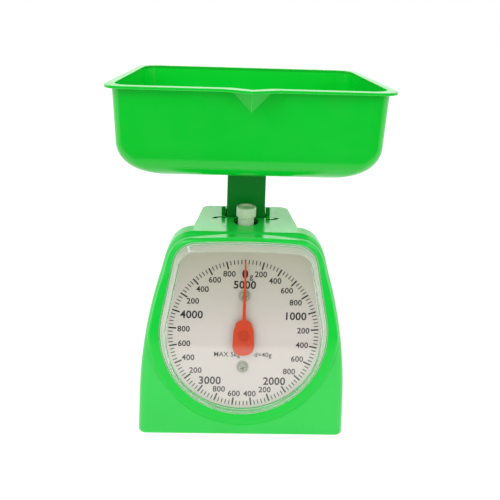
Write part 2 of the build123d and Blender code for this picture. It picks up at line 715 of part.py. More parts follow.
with BuildPart() as spring_beam:
    with BuildSketch(front_plane(BEAM_BACK_Y)):
        with Locations((0, BEAM_BOTTOM)):
            Rectangle(2 * BEAM_HALF, BEAM_TOP - BEAM_BOTTOM, align=(Align.CENTER, Align.MIN))
        with Locations((SPRING_X, 46), (-SPRING_X, 46)):
            Circle(2.2, mode=Mode.SUBTRACT)
        with Locations(RACK_SCREWS + BEAM_SCREWS):
            Circle(1.0, mode=Mode.SUBTRACT)
    extrude(amount=SHEET)
    fillet(spring_beam.edges().filter_by(Axis.Y).filter_by(GeomType.LINE), 3)
spring_beam.part.label = "spring_beam"
export_step(spring_beam.part, "parts/spring_beam.step")

with BuildPart() as rack_screws:
    with BuildSketch(front_plane(BEAM_BACK_Y + SHEET)):
        with Locations(RACK_SCREWS):
            Circle(1.0)
    extrude(amount=2 * SHEET + 2)
    with BuildSketch(front_plane(BEAM_FRONT_Y - 2)):
        with Locations(RACK_SCREWS):
            Circle(1.9)
    extrude(amount=1.2)
rack_screws.part.label = "rack_screws"
export_step(rack_screws.part, "parts/rack_screws.step")

with BuildPart() as beam_screws:
    with BuildSketch(front_plane(BEAM_BACK_Y + SHEET)):
        with Locations(BEAM_SCREWS):
            Circle(1.0)
    extrude(amount=2 * SHEET)
    with BuildSketch(front_plane(BEAM_FRONT_Y)):
        with Locations(BEAM_SCREWS):
            Circle(1.9)
    extrude(amount=1.2)
beam_screws.part.label = "beam_screws"
export_step(beam_screws.part, "parts/beam_screws.step")

CARRIER_BOTTOM = 28.0
CARRIER_TOP = 100.0
CARRIER_BACK_Y = POST_DEPTH / 2 + 0.2
POST_SCREWS = (70.0, 92.0)

with BuildPart() as carrier:
    with BuildSketch(Plane.XY.offset(CARRIER_BOTTOM)):
        with Locations((0, CARRIER_BACK_Y)):
            Rectangle(2 * (CHEEK_INNER + SHEET), SHEET, align=(Align.CENTER, Align.MIN))
    extrude(amount=CARRIER_TOP - CARRIER_BOTTOM)
    for side in (-1, 1):
        start = CHEEK_INNER if side > 0 else -CHEEK_INNER - SHEET
        with BuildSketch(Plane.YZ.offset(start)):
            with BuildLine():
                Polyline(
                    (CARRIER_BACK_Y + SHEET, CARRIER_BOTTOM),
                    (CARRIER_BACK_Y + SHEET, CARRIER_TOP),
                    (-14, CARRIER_TOP),
                    (-14, BEAM_TOP + 4),
                    (BEAM_BACK_Y, BEAM_TOP),
                    (BEAM_BACK_Y, BEAM_BOTTOM),
                    (-14, CARRIER_BOTTOM + 2),
                    (-12, CARRIER_BOTTOM),
                    close=True,
                )
            make_face()
            with Locations(
                (FRONT_PIVOT_Y, LOWER_PIVOT_Z + FRONT_PIVOT_RISE),
                (FRONT_PIVOT_Y, UPPER_PIVOT_Z + FRONT_PIVOT_RISE),
            ):
                Circle(PIN_RADIUS, mode=Mode.SUBTRACT)
        extrude(amount=SHEET)
    # front flanges that the spring beam is screwed to
    with BuildSketch(front_plane(BEAM_BACK_Y + SHEET)):
        with Locations((11.85, 45), (-11.85, 45)):
            Rectangle(2 * (CHEEK_INNER + SHEET - 11.85), 12)
        with Locations(RACK_SCREWS + BEAM_SCREWS):
            Circle(1.0, mode=Mode.SUBTRACT)
    extrude(amount=SHEET)
    with BuildSketch(front_plane(0)):
        with Locations((0, POST_SCREWS[0]), (0, POST_SCREWS[1])):
            Circle(1.6)
    extrude(amount=-20, mode=Mode.SUBTRACT)
carrier.part.label = "carrier"
export_step(carrier.part, "parts/carrier.step")

with BuildPart() as post:
    with BuildSketch(Plane.XY.offset(POST_BOTTOM)):
        RectangleRounded(POST_WIDTH, POST_DEPTH, 1.2)
    extrude(amount=POST_TOP - POST_BOTTOM)
    inner_width = POST_WIDTH - 2 * POST_WALL
    inner_depth = POST_DEPTH - 2 * POST_WALL
    with BuildSketch(Plane.XY.offset(POST_BOTTOM)):
        Rectangle(inner_width, inner_depth)
    extrude(amount=POST_TOP - POST_BOTTOM - 18, mode=Mode.SUBTRACT)
    with BuildSketch(Plane.XY.offset(POST_TOP - 12)):
        Rectangle(inner_width, inner_depth)
    extrude(amount=12, mode=Mode.SUBTRACT)
    with BuildSketch(Plane.XY.offset(POST_TOP - 18)):
        Circle(2)
    extrude(amount=6, mode=Mode.SUBTRACT)
    # bosses behind the rear wall for the two carrier screws
    with BuildSketch(front_plane(POST_DEPTH / 2 - 1)):
        with Locations((0, POST_SCREWS[0]), (0, POST_SCREWS[1])):
            Circle(3.4)
    extrude(amount=4)
    with BuildSketch(front_plane(POST_DEPTH / 2)):
        with Locations((0, POST_SCREWS[0]), (0, POST_SCREWS[1])):
            Circle(PIN_RADIUS)
    extrude(amount=4.5, mode=Mode.SUBTRACT)
post.part.label = "post"
export_step(post.part, "parts/post.step")

with BuildPart() as post_screws:
    with BuildSketch(front_plane(CARRIER_BACK_Y + SHEET)):
        with Locations((0, POST_SCREWS[0]), (0, POST_SCREWS[1])):
            Circle(PIN_RADIUS)
    extrude(amount=6)
    with BuildSketch(front_plane(CARRIER_BACK_Y + SHEET)):
        with Locations((0, POST_SCREWS[0]), (0, POST_SCREWS[1])):
            Circle(2.8)
    extrude(amount=-1.8)
post_screws.part.label = "post_screws"
export_step(post_screws.part, "parts/post_screws.step")

with BuildPart() as platform:
    with BuildSketch(Plane.XY.offset(POST_TOP)):
        RectangleRounded(PLATFORM_SIZE[0], PLATFORM_SIZE[1], 6)
    extrude(amount=PLATFORM_SIZE[2])
    with BuildSketch(Plane.XY.offset(POST_TOP)):
        Rectangle(inner_width - 0.2, inner_depth - 0.2)
    extrude(amount=-11.8)
    with Locations((0, 0, PAN_BOTTOM)):
        CounterSinkHole(2.2, 4.2)
platform.part.label = "platform"
export_step(platform.part, "parts/platform.step")

with BuildPart() as platform_screw:
    with BuildSketch(Plane.XY.offset(POST_TOP - 17)):
        Circle(2)
    extrude(amount=17 + PLATFORM_SIZE[2] - 0.3)
    with Locations((0, 0, PAN_BOTTOM - 0.3)):
        Cone(2, 3.8, 1.8, align=(Align.CENTER, Align.CENTER, Align.MAX))
platform_screw.part.label = "platform_screw"
export_step(platform_screw.part, "parts/platform_screw.step")

# ======================= levers and pins =======================
LEVER_WIDTH = 9.0


def lever_part(pivot_z, front_clearance):
    """U-shaped pressed lever: two arms on the rear pin, joined by a web near it."""
    tilt = radians(LEVER_TILT)
    along = (0, -cos(tilt), sin(tilt))
    with BuildPart() as lever:
        for start in (LEVER_INNER, -LEVER_INNER - SHEET):
            arm_plane = Plane(origin=(start, REAR_PIVOT_Y, pivot_z), x_dir=along, z_dir=(1, 0, 0))
            with BuildSketch(arm_plane):
                with Locations((LEVER_LENGTH / 2, 0)):
                    SlotCenterToCenter(LEVER_LENGTH, LEVER_WIDTH)
                Circle(PIN_RADIUS + RUNNING_GAP, mode=Mode.SUBTRACT)
                with Locations((LEVER_LENGTH, 0)):
                    Circle(PIN_RADIUS + front_clearance, mode=Mode.SUBTRACT)
            extrude(amount=SHEET)
        web_plane = Plane(origin=(-LEVER_INNER, REAR_PIVOT_Y, pivot_z), x_dir=along, z_dir=(1, 0, 0))
        with BuildSketch(web_plane):
            with Locations((10, LEVER_WIDTH / 2 - SHEET / 2)):
                Rectangle(8, SHEET)
        extrude(amount=2 * LEVER_INNER)
    return lever.part


with BuildPart() as lower_lever:
    add(lever_part(LOWER_PIVOT_Z, RUNNING_GAP))
lower_lever.part.label = "lower_lever"
export_step(lower_lever.part, "parts/lower_lever.step")

with BuildPart() as upper_lever:
    add(lever_part(UPPER_PIVOT_Z, OPEN_PIVOT_GAP))
upper_lever.part.label = "upper_lever"
export_step(upper_lever.part, "parts/upper_lever.step")

REAR_PIN_HALF = CHASSIS_INNER + SHEET + 1.2
FRONT_PIN_HALF = LEVER_INNER + SHEET + 0.6
PINS = {
    "lower_rear_pin": (REAR_PIVOT_Y, LOWER_PIVOT_Z, REAR_PIN_HALF),
    "upper_rear_pin": (REAR_PIVOT_Y, UPPER_PIVOT_Z, REAR_PIN_HALF),
    "lower_front_pin": (FRONT_PIVOT_Y, LOWER_PIVOT_Z + FRONT_PIVOT_RISE, FRONT_PIN_HALF),
    "upper_front_pin": (FRONT_PIVOT_Y, UPPER_PIVOT_Z + FRONT_PIVOT_RISE, FRONT_PIN_HALF),
}
for pin_name, (pin_y, pin_z, half) in PINS.items():
    with BuildPart() as pin:
        with BuildSketch(Plane.YZ.offset(-half)):
            with Locations((pin_y, pin_z)):
                Circle(PIN_RADIUS)
        extrude(amount=2 * half)
    pin.part.label = pin_name
    export_step(pin.part, f"parts/{pin_name}.step")

with BuildPart() as rear_clips:
    for z in (LOWER_PIVOT_Z, UPPER_PIVOT_Z):
        for side in (-1, 1):
            clip_x = side * (CHASSIS_INNER + SHEET + 0.5)
            add(ring(clip_x, REAR_PIVOT_Y, z, 2.8, PIN_RADIUS, 0.6))
rear_clips.part.label = "rear_clips"
export_step(rear_clips.part, "parts/rear_clips.step")

with BuildPart() as front_clips:
    for z in (LOWER_PIVOT_Z, UPPER_PIVOT_Z):
        for side in (-1, 1):
            clip_x = side * (LEVER_INNER + SHEET + 0.35)
            add(ring(clip_x, FRONT_PIVOT_Y, z + FRONT_PIVOT_RISE, 2.6, PIN_RADIUS, 0.4))
front_clips.part.label = "front_clips"
export_step(front_clips.part, "parts/front_clips.step")

# ======================= springs and zero adjustment =======================
COIL_BOTTOM = LOWER_LOOP_Z + LOOP_RADIUS
COIL_TOP = UPPER_LOOP_Z - LOOP_RADIUS
COIL_PITCH = (COIL_TOP - COIL_BOTTOM) / SPRING_TURNS


def extension_spring(x):
    """Open coil with a bar and a ring loop at each end, hanging in the spring plane."""
    with BuildPart() as coiled:
        with BuildLine(Plane.XY.offset(COIL_BOTTOM)) as coil:
            Helix(COIL_PITCH, COIL_TOP - COIL_BOTTOM, SPRING_RADIUS)
        with BuildSketch(Plane(origin=coil.line @ 0, z_dir=coil.line % 0)):
            Circle(WIRE_RADIUS)
        sweep(path=coil.line, is_frenet=True)
        for bar_z, loop_z in ((COIL_BOTTOM, LOWER_LOOP_Z), (COIL_TOP, UPPER_LOOP_Z)):
            with Locations(Location((SPRING_RADIUS / 2, 0, bar_z), (0, 90, 0))):
                Cylinder(WIRE_RADIUS, SPRING_RADIUS)
            with Locations(Location((0, 0, loop_z), (0, 90, 0))):
                Torus(LOOP_RADIUS, WIRE_RADIUS)
    return coiled.part.moved(Location((x, ZERO_Y, 0)))


for spring_name, spring_x in (("left_spring", -SPRING_X), ("right_spring", SPRING_X)):
    with BuildPart() as spring:
        add(extension_spring(spring_x))
    spring.part.label = spring_name
    export_step(spring.part, f"parts/{spring_name}.step")

HANGER_BOTTOM = 104.0
HANGER_TOP = 114.0
with BuildPart() as spring_hanger:
    with BuildSketch(front_plane(BEAM_BACK_Y)):
        with Locations((0, HANGER_BOTTOM)):
            Rectangle(2 * BEAM_HALF, HANGER_TOP - HANGER_BOTTOM, align=(Align.CENTER, Align.MIN))
        with Locations((SPRING_X, 109), (-SPRING_X, 109)):
            Circle(2.2, mode=Mode.SUBTRACT)
    extrude(amount=SHEET)
    fillet(spring_hanger.edges().filter_by(Axis.Y).filter_by(GeomType.LINE), 2.5)
    with Locations((0, ZERO_Y, HANGER_BOTTOM - 1)):
        Cylinder(4.5, HANGER_TOP - HANGER_BOTTOM + 1, align=(Align.CENTER, Align.CENTER, Align.MIN))
    with BuildSketch(Plane.XY.offset(107)):
        with Locations((0, ZERO_Y)):
            Rectangle(2 * TONGUE_HALF, ZERO_Y - CHASSIS_FRONT_Y, align=(Align.CENTER, Align.MAX))
    extrude(amount=4)
    with Locations((0, ZERO_Y, HANGER_BOTTOM - 2)):
        Cylinder(
            ZERO_SCREW_RADIUS + RUNNING_GAP,
            20,
            align=(Align.CENTER, Align.CENTER, Align.MIN),
            mode=Mode.SUBTRACT,
        )
spring_hanger.part.label = "spring_hanger"
export_step(spring_hanger.part, "parts/spring_hanger.step")

SCREW_BOTTOM = 96.0
SCREW_TOP = 142.0
COLLAR_Z = CHASSIS_TOP + SHEET + 0.1
with BuildPart() as zero_screw:
    with Locations((0, ZERO_Y, SCREW_BOTTOM)):
        Cylinder(
            ZERO_SCREW_RADIUS,
            SCREW_TOP - SCREW_BOTTOM,
            align=(Align.CENTER, Align.CENTER, Align.MIN),
        )
    chamfer(zero_screw.edges().group_by(Axis.Z)[0], 0.4)
    with Locations((0, ZERO_Y, COLLAR_Z)):
        Cylinder(4.5, 2, align=(Align.CENTER, Align.CENTER, Align.MIN))
zero_screw.part.label = "zero_screw"
export_step(zero_screw.part, "parts/zero_screw.step")

with BuildPart() as screw_clip:
    with BuildSketch(Plane.XY.offset(CHASSIS_TOP - 0.9)):
        with Locations((0, ZERO_Y)):
            Circle(3.6)
            Circle(ZERO_SCREW_RADIUS, mode=Mode.SUBTRACT)
    extrude(amount=0.7)
screw_clip.part.label = "screw_clip"
export_step(screw_clip.part, "parts/screw_clip.step")

KNOB_BOTTOM = 124.0
KNOB_CAP_Z = 141.2
KNOB_TOP = 147.6
KNOB_NECK_RADIUS = 5.7
KNOB_CAP_RADIUS = 7.0
FLUTES = 24
with BuildPart() as zero_knob:
    with BuildSketch(Plane.XY.offset(KNOB_BOTTOM)):
        with Locations((0, ZERO_Y)):
            Circle(KNOB_NECK_RADIUS)
    extrude(amount=KNOB_CAP_Z - KNOB_BOTTOM)
    with BuildSketch(Plane.XY.offset(KNOB_CAP_Z)):
        with Locations((0, ZERO_Y)):
            Circle(KNOB_CAP_RADIUS)
    extrude(amount=KNOB_TOP - KNOB_CAP_Z)
    fillet(zero_knob.edges().group_by(Axis.Z)[-1], 1.1)
    with BuildSketch(Plane.XY.offset(KNOB_TOP)):
        with Locations((0, ZERO_Y)):
            Circle(4.2)
    extrude(amount=-0.9, taper=20, mode=Mode.SUBTRACT)
    with BuildSketch(Plane.XY.offset(KNOB_CAP_Z)):
        with Locations((0, ZERO_Y)):
            with PolarLocations(KNOB_CAP_RADIUS + 0.25, FLUTES):
                Circle(0.45)
    extrude(amount=KNOB_TOP - KNOB_CAP_Z - 1.1, mode=Mode.SUBTRACT)
    with BuildSketch(Plane.XY.offset(KNOB_BOTTOM)):
        with Locations((0, ZERO_Y)):
            Circle(ZERO_SCREW_RADIUS)
    extrude(amount=SCREW_TOP - KNOB_BOTTOM + 0.2, mode=Mode.SUBTRACT)
zero_knob.part.label = "zero_knob"
export_step(zero_knob.part, "parts/zero_knob.step")


# ======================= pan =======================
def bowl(inset):
    """Bowl with leaning walls and a big round into the floor; inset gives its inside."""
    steps = 5
    with BuildPart() as shape:
        for step in range(steps + 1):
            turn = radians((90 - PAN_TAPER) * step / steps)
            out = (PAN_FLOOR_ROUND - inset) * sin(turn)
            width, depth = (half - PAN_FLOOR_ROUND + out for half in PAN_HALF)
            height = PAN_BOTTOM + PAN_FLOOR_ROUND - (PAN_FLOOR_ROUND - inset) * cos(turn)
            corner = PAN_FLOOR_CORNER + (PAN_CORNER - inset - PAN_FLOOR_CORNER) * sin(turn)
            with BuildSketch(Plane.XY.offset(height)):
                RectangleRounded(2 * width, 2 * depth, corner)
        loft()
        grow = (PAN_RIM - height) * tan(radians(PAN_TAPER))
        with BuildSketch(Plane.XY.offset(height)) as low:
            RectangleRounded(2 * width, 2 * depth, corner)
        with BuildSketch(Plane.XY.offset(PAN_RIM)) as high:
            RectangleRounded(2 * (width + grow), 2 * (depth + grow), corner + grow)
        loft(sections=[low.sketch, high.sketch], ruled=True)
    return shape.part


def spout(inset):
    """Pouring lip: an upside-down pyramid on the front wall, its mouth at the rim."""
    wall_rise = PAN_RIM - PAN_BOTTOM - PAN_FLOOR_ROUND
    wall_y = -(PAN_HALF[1] + wall_rise * tan(radians(PAN_TAPER))) + 2
    half = SPOUT_HALF + 2 - inset
    with BuildPart() as shape:
        with BuildSketch(Plane.XY.offset(PAN_RIM)) as mouth:
            Polygon(
                (-half, wall_y + inset),
                (half, wall_y + inset),
                (0, wall_y - 2 - SPOUT_REACH + 1.3 * inset),
                align=None,
            )
        loft(sections=[mouth.sketch, Vertex(0, wall_y + inset, PAN_RIM - SPOUT_DROP - 4 + inset)])
    return shape.part


LOCATING_RIB = (66.0, 56.0, 2.4)
with BuildPart() as pan:
    add(bowl(0))
    add(spout(0))
    # flat rim, carried round the spout
    with BuildSketch(Plane.XY.offset(PAN_RIM - RIM_THICKNESS)):
        RectangleRounded(RIM_WIDTH, RIM_DEPTH, RIM_CORNER)
        Polygon(
            (-SPOUT_HALF - 6, -RIM_DEPTH / 2 + 2),
            (SPOUT_HALF + 6, -RIM_DEPTH / 2 + 2),
            (0, -RIM_DEPTH / 2 - SPOUT_REACH),
            align=None,
        )
    extrude(amount=RIM_THICKNESS)
    with BuildSketch(Plane.XY.offset(PAN_RIM)):
        with Locations((-RIM_NOTCH_X, RIM_DEPTH / 2), (RIM_NOTCH_X, RIM_DEPTH / 2)):
            Rectangle(*RIM_NOTCH)
    extrude(amount=-RIM_THICKNESS, mode=Mode.SUBTRACT)
    add(bowl(PAN_WALL), mode=Mode.SUBTRACT)
    add(spout(PAN_WALL), mode=Mode.SUBTRACT)
    # rib under the floor that locates the pan on the platform
    with BuildSketch(Plane.XY.offset(PAN_BOTTOM - LOCATING_RIB[2])):
        RectangleRounded(LOCATING_RIB[0], LOCATING_RIB[1], 8)
        RectangleRounded(LOCATING_RIB[0] - 4, LOCATING_RIB[1] - 4, 6, mode=Mode.SUBTRACT)
    extrude(amount=LOCATING_RIB[2] + 0.5)
pan.part.label = "pan"
export_step(pan.part, "parts/pan.step")
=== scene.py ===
import json
import math

import bmesh
import bpy
from mathutils import Matrix, Vector


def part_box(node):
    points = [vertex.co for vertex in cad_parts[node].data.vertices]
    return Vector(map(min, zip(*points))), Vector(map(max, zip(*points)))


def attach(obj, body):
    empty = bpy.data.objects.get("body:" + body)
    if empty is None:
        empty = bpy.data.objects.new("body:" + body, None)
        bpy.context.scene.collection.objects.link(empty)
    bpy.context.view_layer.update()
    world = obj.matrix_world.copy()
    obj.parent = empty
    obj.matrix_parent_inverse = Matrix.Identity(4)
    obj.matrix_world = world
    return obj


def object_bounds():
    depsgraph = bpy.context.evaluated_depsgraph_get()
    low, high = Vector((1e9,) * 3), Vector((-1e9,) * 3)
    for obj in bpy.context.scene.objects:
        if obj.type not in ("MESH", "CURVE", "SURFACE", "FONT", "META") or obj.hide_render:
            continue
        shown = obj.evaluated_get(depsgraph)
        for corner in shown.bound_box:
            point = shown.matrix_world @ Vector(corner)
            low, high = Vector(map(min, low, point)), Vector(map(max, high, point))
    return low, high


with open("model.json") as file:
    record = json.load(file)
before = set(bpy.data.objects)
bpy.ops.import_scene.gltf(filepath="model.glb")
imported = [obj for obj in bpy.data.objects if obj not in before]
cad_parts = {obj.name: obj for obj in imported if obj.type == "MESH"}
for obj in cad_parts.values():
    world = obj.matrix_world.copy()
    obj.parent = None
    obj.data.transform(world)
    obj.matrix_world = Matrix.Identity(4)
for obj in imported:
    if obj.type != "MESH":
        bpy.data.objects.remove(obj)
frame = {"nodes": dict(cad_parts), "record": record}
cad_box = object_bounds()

# The looks of a spring platform scale: moulded green plastic, a printed dial under a clear lens.
# Metres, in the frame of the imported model: +Z up, the dial faces -Y.

MM = 0.001
scene = bpy.context.scene

# ---- colours, linear ----
PAN_DEEP = (0.000, 0.450, 0.016, 1)
PAN_PALE = (0.000, 0.510, 0.026, 1)
# painted shade: the boss round the lens is painted a deeper green, for the dimmer room it mirrors
BOSS_SHADE_GREEN = (0.004, 0.560, 0.040, 1)
BODY_DEEP = (0.008, 0.520, 0.048, 1)
BODY_PALE = (0.018, 0.600, 0.070, 1)
# painted shade: the post and platform stand in the pan's shadow, so their green is painted darker
POST_SHADE_DEEP = (0.000, 0.200, 0.016, 1)
POST_SHADE_PALE = (0.000, 0.250, 0.022, 1)
# painted shade: the sunk arrows are painted darker, for the shade in their recess
ARROW_SHADE_GREEN = (0.002, 0.090, 0.012, 1)
# painted shade: the lugs beside the post, under the pan, are painted darker
LUG_SHADE_GREEN = (0.001, 0.260, 0.018, 1)
# the edge colours are partly a painted highlight, partly edge wear
GREEN_EDGE_HIGHLIGHT_AND_WEAR = (0.230, 0.930, 0.290, 1)
BASE_DEEP = (0.012, 0.300, 0.050, 1)
BASE_PALE = (0.022, 0.360, 0.070, 1)
CREAM_DEEP = (0.470, 0.600, 0.420, 1)
CREAM_PALE = (0.560, 0.670, 0.490, 1)
CREAM_EDGE_HIGHLIGHT_AND_WEAR = (0.780, 0.860, 0.700, 1)
CARD_DEEP = (0.640, 0.570, 0.540, 1)
CARD_PALE = (0.720, 0.650, 0.620, 1)
# painted shadow: the colour the dial card darkens to at its top
CARD_PAINTED_SHADOW = (0.400, 0.390, 0.290, 1)
INK_DEEP = (0.010, 0.010, 0.010, 1)
INK_PALE = (0.030, 0.028, 0.026, 1)
ORANGE_DEEP = (0.620, 0.040, 0.000, 1)
ORANGE_PALE = (0.700, 0.054, 0.001, 1)
ORANGE_EDGE_HIGHLIGHT_AND_WEAR = (0.760, 0.088, 0.020, 1)
ORANGE_HUB = (0.560, 0.032, 0.000, 1)
SCREW_DEEP = (0.360, 0.360, 0.280, 1)
SCREW_PALE = (0.520, 0.520, 0.420, 1)
WASHER_DEEP = (0.360, 0.370, 0.290, 1)
WASHER_PALE = (0.520, 0.520, 0.430, 1)
ACETAL_DEEP = (0.620, 0.610, 0.560, 1)
ACETAL_PALE = (0.760, 0.750, 0.700, 1)
STEEL_DEEP = (0.500, 0.500, 0.500, 1)
STEEL_PALE = (0.680, 0.680, 0.670, 1)
WIRE_DEEP = (0.200, 0.200, 0.210, 1)
WIRE_PALE = (0.360, 0.350, 0.340, 1)
BLACK_DEEP = (0.080, 0.080, 0.050, 1)
BLACK_PALE = (0.180, 0.180, 0.120, 1)
BRASS_DEEP = (0.550, 0.360, 0.120, 1)
BRASS_PALE = (0.780, 0.560, 0.240, 1)
ZINC_DEEP = (0.420, 0.430, 0.440, 1)
ZINC_PALE = (0.660, 0.660, 0.640, 1)
RUBBER_BLACK = (0.012, 0.012, 0.012, 1)
RUBBER_DUST = (0.110, 0.108, 0.100, 1)
WHITE = (1, 1, 1, 1)
CLEAR_TINT = (0.985, 0.990, 0.980, 1)
THROUGH_TINT = (0.950, 0.960, 0.950, 1)  # of light that passes the lens
FROST = (0.840, 0.900, 0.820, 1)
WALL_HAZE = 0.11  # of the lens's sloping wall
EDGE_HAZE = 0.75  # of its edges
EDGE_ROUND = 0.9 * MM  # how far from an edge its lighter tone reaches

# ---- the camera ----
FOCAL_LENGTH = 38.92
CAMERA_PLACE = (-10.2, -394.2, 281.5)  # millimetres
CAMERA_TURN = -1.33  # degrees, as are the two below
CAMERA_PITCH = -3.39
CAMERA_ROLL = 1.74
LENS_SHIFT = -0.402  # shares of the sensor
LENS_SHIFT_ACROSS = 0.0018
QUATERNION_MODE = 0  # what an object's rotation_mode reads as
EULER_MODE = 1

# ---- the printed dial ----
CAPACITY = 5000
TICK_STEP = 40
LABEL_STEP = 200
TICK_OUTER = 50.8 * MM
TICK_LENGTH = 3.1 * MM
TICK_WIDTH = 0.62 * MM
LONG_TICK_LENGTH = 5.3 * MM
LONG_TICK_WIDTH = 1.05 * MM
LABEL_EDGE = 44.6 * MM
LARGE_LABEL_SWAY = math.radians(2.8)  # thousands sit nearer the top and bottom than their ticks
SMALL_DIGIT = 4.0 * MM
LARGE_DIGIT = 5.4 * MM
ZERO_DIGIT = 5.7 * MM
CAPTION_DIGIT = 3.3 * MM
DIGIT_WIDTH = 0.69  # of its height, with its share of the gap
FIGURE_SHARE = 0.73  # height of a figure over the font's size
INK = 0.04 * MM  # thickness of the printing
SMALL_BOLD = 0.11 * MM
THOUSAND_BOLD = 0.17 * MM
CAPACITY_BOLD = 0.19 * MM
GRAM_BOLD = 0.06 * MM
ZERO_BOLD = 0.36 * MM
CAPTION_BOLD = 0.05 * MM
ZERO_RISE = 41.2 * MM
GRAM_ACROSS = 4.2 * MM
GRAM_RISE = 39.6 * MM
CAPACITY_RISE = 33.7 * MM
CAPTION_DROP = 14.8 * MM
CAPTION = "MAX 5kg       d=40g"

# ---- details of the body ----
LUG_HEIGHT = 5.5 * MM
BOSS_RADIUS = 64.8 * MM  # raised ring of the hood round the lens
BOSS_RISE = 2.5 * MM  # its middle over the middle of the dial
BOSS_FRONT = -44.5 * MM
HUB_RISE = 0.4 * MM
HUB_RADIUS = 4.3 * MM  # the pointer's thick boss
WALL_ZONE = 12 * MM  # depth of the pan's front and back walls with their rims
# painted glow: strength of the emission on the pan's inside
PAINTED_SEEP = 0.32  # light through the pan's back wall
RIM_DROP = 2.2 * MM  # the pan's rim ends this far below its top
ARROW_REACH = 26 * MM
ARROW_FRONT = -6 * MM
ARROW_BACK = -16 * MM
ARROW_LIP = 0.32 * MM  # under the foot of the lugs
ARROW_FLOOR = 0.9 * MM

# ---- the studio ----
SHEET_EDGE = -0.145  # mirrored in gloss, the white sheet ends here and a dim room begins
SHEET_BLUR = 0.008
SHEET_GLOW = 0.80
SHEET_DEEP = (0.260, 0.260, 0.260, 1)
SHEET_PALE = (0.280, 0.280, 0.280, 1)
FLOOR_HALF = 6.0
ROOM_DIM = 0.10
ROOM_BRIGHT = 1.3
ROOM_LIGHT = 0.85
DIM_BEFORE = -0.35  # how far a mirrored ray points back, from dim room to bright
BRIGHT_BEHIND = 0.15
# each light: place, width, height, watts
LIGHTS = {
    "key": ((-0.7, -0.8, 1.1), 0.9, 0.7, 7.0),
    "fill": ((0.9, -0.7, 0.7), 0.6, 0.8, 2.5),
    "back": ((0.2, 1.1, 0.9), 0.9, 0.6, 4.0),
}


class Graph:
    """A material's node tree, built with short calls."""

    def __init__(self, name):
        self.material = bpy.data.materials.new(name)
        self.material.use_nodes = True
        self.tree = self.material.node_tree
        self.tree.nodes.clear()
        self.out = self.node("ShaderNodeOutputMaterial")
        self.place = self.node("ShaderNodeTexCoord").outputs["Object"]

    def node(self, kind, inputs=None, **settings):
        made = self.tree.nodes.new(kind)
        for key, value in settings.items():
            setattr(made, key, value)
        for key, value in (inputs or {}).items():
            self.feed(made.inputs[key], value)
        return made

    def feed(self, socket, value):
        if isinstance(value, bpy.types.NodeSocket):
            self.tree.links.new(value, socket)
        else:
            socket.default_value = value

    def stretched(self, along):
        """Object coordinates scaled differently along each axis."""
        return self.node("ShaderNodeMapping", {"Vector": self.place, "Scale": along}).outputs["Vector"]

    def noise(self, scale, detail=2.0, roughness=0.5, vector=None):
        inputs = {"Vector": vector or self.place, "Scale": scale, "Detail": detail, "Roughness": roughness}
        return self.node("ShaderNodeTexNoise", inputs).outputs["Fac"]

    def span(self, value, low, high, to_low, to_high):
        inputs = {"Value": value, "From Min": low, "From Max": high, "To Min": to_low, "To Max": to_high}
        return self.node("ShaderNodeMapRange", inputs).outputs["Result"]

    def calc(self, operation, a, b=0.0):
        return self.node("ShaderNodeMath", {0: a, 1: b}, operation=operation).outputs["Value"]

    def mix(self, share, a, b):
        made = self.node("ShaderNodeMix", data_type="RGBA")
        self.feed(made.inputs[0], share)
        self.feed(made.inputs[6], a)
        self.feed(made.inputs[7], b)
        return made.outputs[2]

    def bump(self, height, distance, strength=1.0):
        inputs = {"Height": height, "Distance": distance, "Strength": strength}
        return self.node("ShaderNodeBump", inputs).outputs["Normal"]

    def edges(self, radius):
        """1 on sharp edges, 0 on open surfaces."""
        rounded = self.node("ShaderNodeBevel", {"Radius": radius}, samples=4).outputs["Normal"]
        true = self.node("ShaderNodeNewGeometry").outputs["Normal"]
        facing = self.node("ShaderNodeVectorMath", {0: rounded, 1: true}, operation="DOT_PRODUCT")
        return self.span(facing.outputs["Value"], 0.99, 0.80, 0.0, 1.0)

    def parts(self, vector):
        """A vector's X, Y and Z."""
        return self.node("ShaderNodeSeparateXYZ", {"Vector": vector}).outputs

    def facing(self):
        """The surface's own normal, as X, Y and Z."""
        return self.parts(self.node("ShaderNodeNewGeometry").outputs["True Normal"])

    def within(self, low, high):
        """1 inside a box given by two corners, 0 outside it."""
        place = self.parts(self.place)
        share = 1.0
        for axis, least, most in zip("XYZ", low, high):
            share = self.calc("MULTIPLY", share, self.calc("GREATER_THAN", place[axis], least))
            share = self.calc("MULTIPLY", share, self.calc("LESS_THAN", place[axis], most))
        return share

    def disc(self, x, z, radius, front):
        """1 nearer than the radius to the line through (x, z) and in front of the plane y = front."""
        place = self.parts(self.place)
        across = self.calc("SUBTRACT", place["X"], x)
        up = self.calc("SUBTRACT", place["Z"], z)
        far = self.calc("ADD", self.calc("MULTIPLY", across, across), self.calc("MULTIPLY", up, up))
        inside = self.calc("LESS_THAN", far, radius * radius)
        return self.calc("MULTIPLY", inside, self.calc("LESS_THAN", place["Y"], front))

    def surface(self, colour, roughness, **inputs):
        named = {"Base Color": colour, "Roughness": roughness}
        for key, value in inputs.items():
            named[key.replace("_", " ")] = value
        made = self.node("ShaderNodeBsdfPrincipled", named)
        self.feed(self.out.inputs["Surface"], made.outputs["BSDF"])
        return made


